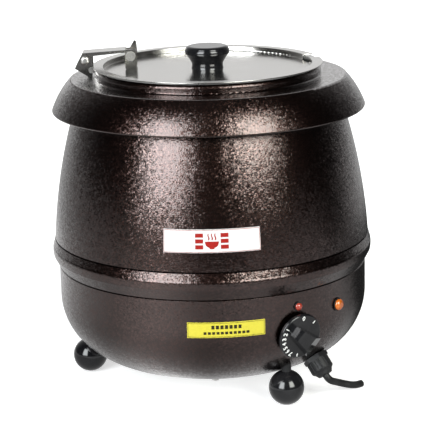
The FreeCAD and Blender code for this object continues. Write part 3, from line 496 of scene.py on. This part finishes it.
def name_plate_print():
    """A bowl between bars, inside a thin border."""
    skin = Skin("name_plate")
    height = 0.68 * skin.height
    bowl = 0.90 * height
    strips = bowl_mark(bowl, height) + side_bars(bowl, height)
    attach(ribbons("name_plate_mark", skin, strips, RED_PRINT), "housing")
    margin, line = 0.4 * MM, 0.45 * MM
    edge = frame_line(skin.width - 2 * margin, skin.height - 2 * margin, line)
    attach(ribbons("name_plate_border", skin, edge, RED_EDGE), "housing")


# rows of blank blocks as (middle, height, blocks, reach to each side), in shares of the plate
BLOCK_ROWS = ((0.18, 0.24, 7, 0.20), (-0.20, 0.17, 11, 0.30))
BLOCK_HALF = 0.34          # half a block's width, as a share of the blocks' spacing


def hot_surface_print():
    """Two rows of blank blocks inside a thin border."""
    skin = Skin("hot_surface_plate")
    margin, line = 0.8 * MM, 0.35 * MM
    strips = frame_line(skin.width - 2 * margin, skin.height - 2 * margin, line)
    for middle, tall, count, reach in BLOCK_ROWS:
        pitch = 2 * reach * skin.width / count
        low, high = (middle - tall / 2) * skin.height, (middle + tall / 2) * skin.height
        for i in range(count):
            x = (i - (count - 1) / 2) * pitch
            strips.append(bar(x - BLOCK_HALF * pitch, x + BLOCK_HALF * pitch, low, high))
    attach(ribbons("hot_surface_mark", skin, strips, DARK_PRINT), "housing")


# ---- dial numbers -------------------------------------------------------------------------
NUMERAL_RING_R = 19.9 * MM
NUMERAL_H = 4.8 * MM
FONT_SIZE = 1.35 * NUMERAL_H
BOLDER = 0.035 * NUMERAL_H     # how far each numeral's outline is pushed out
FIRST_NUMERAL = 147.0      # angles are in degrees from the right, seen from outside
NUMERAL_STEP = 15.0
NUMERALS = 7
ZERO_AT = 86.0
TICKS_AT = (44.0, 262.0)
TICK_LENGTH = 3.2 * MM
TICK_WIDTH = 1.2 * MM
SKIRT_TOP = 6.2 * MM       # the skirt's face, outward from the joint's origin


def dial_frame():
    """Matrix from the dial's own axes, +Z outward and +Y up, to the kettle's frame."""
    joint = JOINTS["dial_turn"]
    outward = -Vector(joint["axis"]).normalized()
    right = Vector((0.0, 0.0, 1.0)).cross(outward).normalized()
    up = outward.cross(right)
    turn = Matrix((right, up, outward)).transposed().to_4x4()
    return Matrix.Translation(joint["pos_m"]) @ turn


def on_skirt(degrees):
    """Matrix of a mark on the dial's skirt, its +X pointing away from the dial's middle."""
    turn = Matrix.Rotation(math.radians(degrees), 4, "Z")
    out = Matrix.Translation((NUMERAL_RING_R, 0.0, SKIRT_TOP + PRINT_DEPTH))
    return dial_frame() @ turn @ out


def numeral(text):
    """A number as a thin flat mesh, centred on its own origin."""
    curve = bpy.data.curves.new("numeral", "FONT")
    curve.body = text
    curve.size = FONT_SIZE
    curve.align_x = "CENTER"
    curve.align_y = "CENTER"
    curve.extrude = PRINT_DEPTH
    curve.offset = BOLDER
    curve.resolution_u = 3
    helper = bpy.data.objects.new("numeral", curve)
    bpy.context.scene.collection.objects.link(helper)
    shape = bpy.data.meshes.new_from_object(helper.evaluated_get(bpy.context.evaluated_depsgraph_get()))
    bpy.data.objects.remove(helper)
    bpy.data.curves.remove(curve)
    return shape


def dial_numerals():
    """A ring of numbers that stand upright towards the rim, and two plain ticks."""
    mesh = bmesh.new()
    upright = Matrix.Rotation(math.radians(-90), 4, "Z")
    marks = [("0", ZERO_AT)]
    marks += [(str(i + 1), FIRST_NUMERAL + i * NUMERAL_STEP) for i in range(NUMERALS)]
    for text, degrees in marks:
        shape = numeral(text)
        shape.transform(on_skirt(degrees) @ upright)
        mesh.from_mesh(shape)
        bpy.data.meshes.remove(shape)
    tick = Matrix.Diagonal((TICK_LENGTH, TICK_WIDTH, 2 * PRINT_DEPTH, 1.0))
    for degrees in TICKS_AT:
        bmesh.ops.create_cube(mesh, size=1.0, matrix=on_skirt(degrees) @ tick)
    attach(finished("dial_numerals", mesh, WHITE_PRINT), "dial")


# ---- studio -------------------------------------------------------------------------------
TARGET = Vector((0.0, 0.0, 0.1757))
CAMERA_AWAY = 1.845
CAMERA_LIFT = 14.47        # degrees above the horizon
CAMERA_ROLL = -1.44
LENS = 145.9
SHIFT = 0.0031


def camera():
    data = bpy.data.cameras.new("camera")
    data.sensor_width = 36.0
    data.lens = LENS
    data.shift_x = SHIFT
    data.clip_start, data.clip_end = 0.05, 50.0
    made = bpy.data.objects.new("camera", data)
    bpy.context.scene.collection.objects.link(made)
    lift = math.radians(CAMERA_LIFT)
    back = Vector((0.0, -math.cos(lift), math.sin(lift)))
    roll = Matrix.Rotation(math.radians(CAMERA_ROLL), 3, "Z").to_quaternion()
    made.rotation_mode = "QUATERNION"
    made.rotation_quaternion = (-back).to_track_quat("-Z", "Y") @ roll
    made.location = TARGET + back * CAMERA_AWAY
    bpy.context.scene.camera = made


# Azimuths are in degrees from the camera side towards the right, elevations in degrees.
# A softbox is (azimuth from, to, elevation from, to, edge softness, strength, colour).
SOFTBOXES = (
    (-52.0, -20.0, 6.0, 46.0, 6.0, 11.0, (0.98, 1.02, 1.04)),
    (21.0, 52.0, 14.0, 48.0, 6.0, 11.5, (1.0, 1.02, 0.96)),
)
WALL_MIDDLE = 4.0                   # the walls are even to both sides of this azimuth
WALL_FROM, WALL_TO = 94.0, 169.0    # they brighten between these angles from it
WALL_CURVE = 2.0
CAMERA_SIDE_LIGHT = 0.015
BACK_LIGHT = 0.80
CEILING_FROM, CEILING_TO = 55.0, 80.0
CEILING_LIGHT = 0.10

FLOOR_R = 9.0
FLOOR_GAP = 0.05 * MM
FLOOR_GLOW = 0.55
# the floor as the kettle mirrors it, with painted pools of light and painted shade, with distances in metres from
# the kettle's axis
NEAR_FLOOR, FAR_FLOOR = 0.46, 0.45  # its brightness close to the kettle and far away
# painted shadow of the kettle: the near floor is darker close to the kettle and brightens outwards by the factor
NEAR_SHADOW = (0.22, 0.50, 1.6)       # (from, to, factor) of the near floor's rise outwards
NEAR_END = (0.62, 1.25)             # (from, to) where the near floor gives way to the far
# painted shade: the near floor dims towards the right
RIGHT_SHADE = (84.0, 118.0, 0.04)    # (azimuth from, to, share left) of the near floor
# painted pools of light on the floor under the softboxes
LIGHT_POOLS = ((-35.0, 34.0, 0.55), (28.0, 36.0, 0.18))     # (azimuth, half-width, extra brightness)
# painted shade: the far floor is dimmed by the camera side and to the right
SHADE_PATCHES = ((0.0, 50.0, 0.78), (96.0, 32.0, 0.85))      # (azimuth, half-width, share taken away)


def bearing(n, place):
    """Azimuth in degrees of a direction or place."""
    way = n.add("SeparateXYZ", {0: place}).outputs
    return n.math("DEGREES", n.math("ARCTAN2", way[0], n.math("MULTIPLY", way[1], -1.0)))


def between(n, value, low, high, soft):
    """One between two limits, with a soft edge down to nothing at each."""
    rising = n.spread(value, low - soft, low + soft, smooth=True)
    falling = n.spread(value, high - soft, high + soft, 1.0, 0.0, True)
    return n.math("MULTIPLY", rising, falling)


def near_azimuth(n, azimuth, centre, half, amount):
    """The amount at the centre, easing to nothing at the half-width."""
    off = n.math("ABSOLUTE", n.math("SUBTRACT", azimuth, centre))
    return n.spread(off, 0.0, half, amount, 0.0, True)


def studio_light():
    """World light: two softboxes beside a dark camera side, and walls that brighten to the back."""
    world = bpy.data.worlds.new("studio")
    bpy.context.scene.world = world
    world.use_nodes = True
    tree = world.node_tree
    n = Nodes(tree, tree.nodes.new("ShaderNodeTexCoord").outputs["Generated"])
    azimuth = bearing(n, n.place)
    height = n.add("SeparateXYZ", {0: n.place}).outputs[2]
    elevation = n.math("DEGREES", n.math("ARCSINE", height))
    around = n.math("ABSOLUTE", n.math("SUBTRACT", azimuth, WALL_MIDDLE))
    far = n.math("POWER", n.spread(around, WALL_FROM, WALL_TO), WALL_CURVE)
    walls = n.spread(far, 0.0, 1.0, CAMERA_SIDE_LIGHT, BACK_LIGHT)
    ceiling = n.spread(elevation, CEILING_FROM, CEILING_TO, smooth=True)
    base = n.math("ADD", n.math("MULTIPLY", walls, n.math("SUBTRACT", 1.0, ceiling)),
                  n.math("MULTIPLY", ceiling, CEILING_LIGHT))
    total = n.add("CombineColor", {0: base, 1: base, 2: base}).outputs[0]
    for left, right, low, high, soft, strength, colour in SOFTBOXES:
        inside = n.math("MULTIPLY", between(n, azimuth, left, right, soft),
                        between(n, elevation, low, high, soft))
        total = n.blend(inside, total, tuple(channel * strength for channel in colour))
    n.feed(tree.nodes["Background"].inputs["Color"], total)


def mirrored_floor(n):
    """The floor as the kettle mirrors it: painted pools of light under the softboxes, painted shade by the camera
    and to the right, and a painted shadow close to the kettle.
    """
    azimuth = bearing(n, n.place)
    away = n.add("VectorMath", {0: n.place}, operation="LENGTH").outputs["Value"]
    near = NEAR_FLOOR
    for pool in LIGHT_POOLS:
        near = n.math("ADD", near, near_azimuth(n, azimuth, *pool))
    # painted shadow of the kettle on the near floor
    rise_from, rise_to, rise = NEAR_SHADOW
    near = n.math("MULTIPLY", near, n.spread(away, rise_from, rise_to, 1.0, rise))
    # painted shade on the near floor towards the right
    fade_from, fade_to, left_over = RIGHT_SHADE
    near = n.math("MULTIPLY", near, n.spread(azimuth, fade_from, fade_to, 1.0, left_over, True))
    # painted shade on the far floor
    far = FAR_FLOOR
    for patch in SHADE_PATCHES:
        far = n.math("MULTIPLY", far, n.math("SUBTRACT", 1.0, near_azimuth(n, azimuth, *patch)))
    beyond = n.spread(away, *NEAR_END, smooth=True)
    light = n.math("MULTIPLY_ADD", beyond, n.math("SUBTRACT", far, near), near)
    return n.add("Emission", {"Color": (1.0, 1.0, 1.0, 1.0), "Strength": light}).outputs[0]


def floor():
    """Pale seamless floor; the camera sees it plain and the kettle mirrors mirrored_floor."""
    made, n, surface = new_material("floor")
    tone = n.noise(3.0)
    dress(n, surface, colour=n.blend(tone, (0.86, 0.86, 0.86), (0.88, 0.88, 0.88)), rough=0.9, level=0.1,
          glow=(1.0, 1.0, 1.0), glow_strength=FLOOR_GLOW)
    seen = n.add("LightPath").outputs["Is Camera Ray"]
    both = n.add("MixShader", {0: seen, 1: mirrored_floor(n), 2: surface.outputs[0]})
    n.feed(made.node_tree.nodes["Material Output"].inputs["Surface"], both.outputs[0])
    mesh = bmesh.new()
    bmesh.ops.create_circle(mesh, cap_ends=True, segments=96, radius=FLOOR_R)
    base = finished("floor", mesh, made)
    base.location.z = cad_low.z - FLOOR_GAP


def picture_tone():
    settings = bpy.context.scene.view_settings
    settings.view_transform = "Standard"
    settings.look = "None"
    settings.exposure = 0.0


paint_cad()
name_plate_print()
hot_surface_print()
dial_numerals()
camera()
studio_light()
floor()
picture_tone()
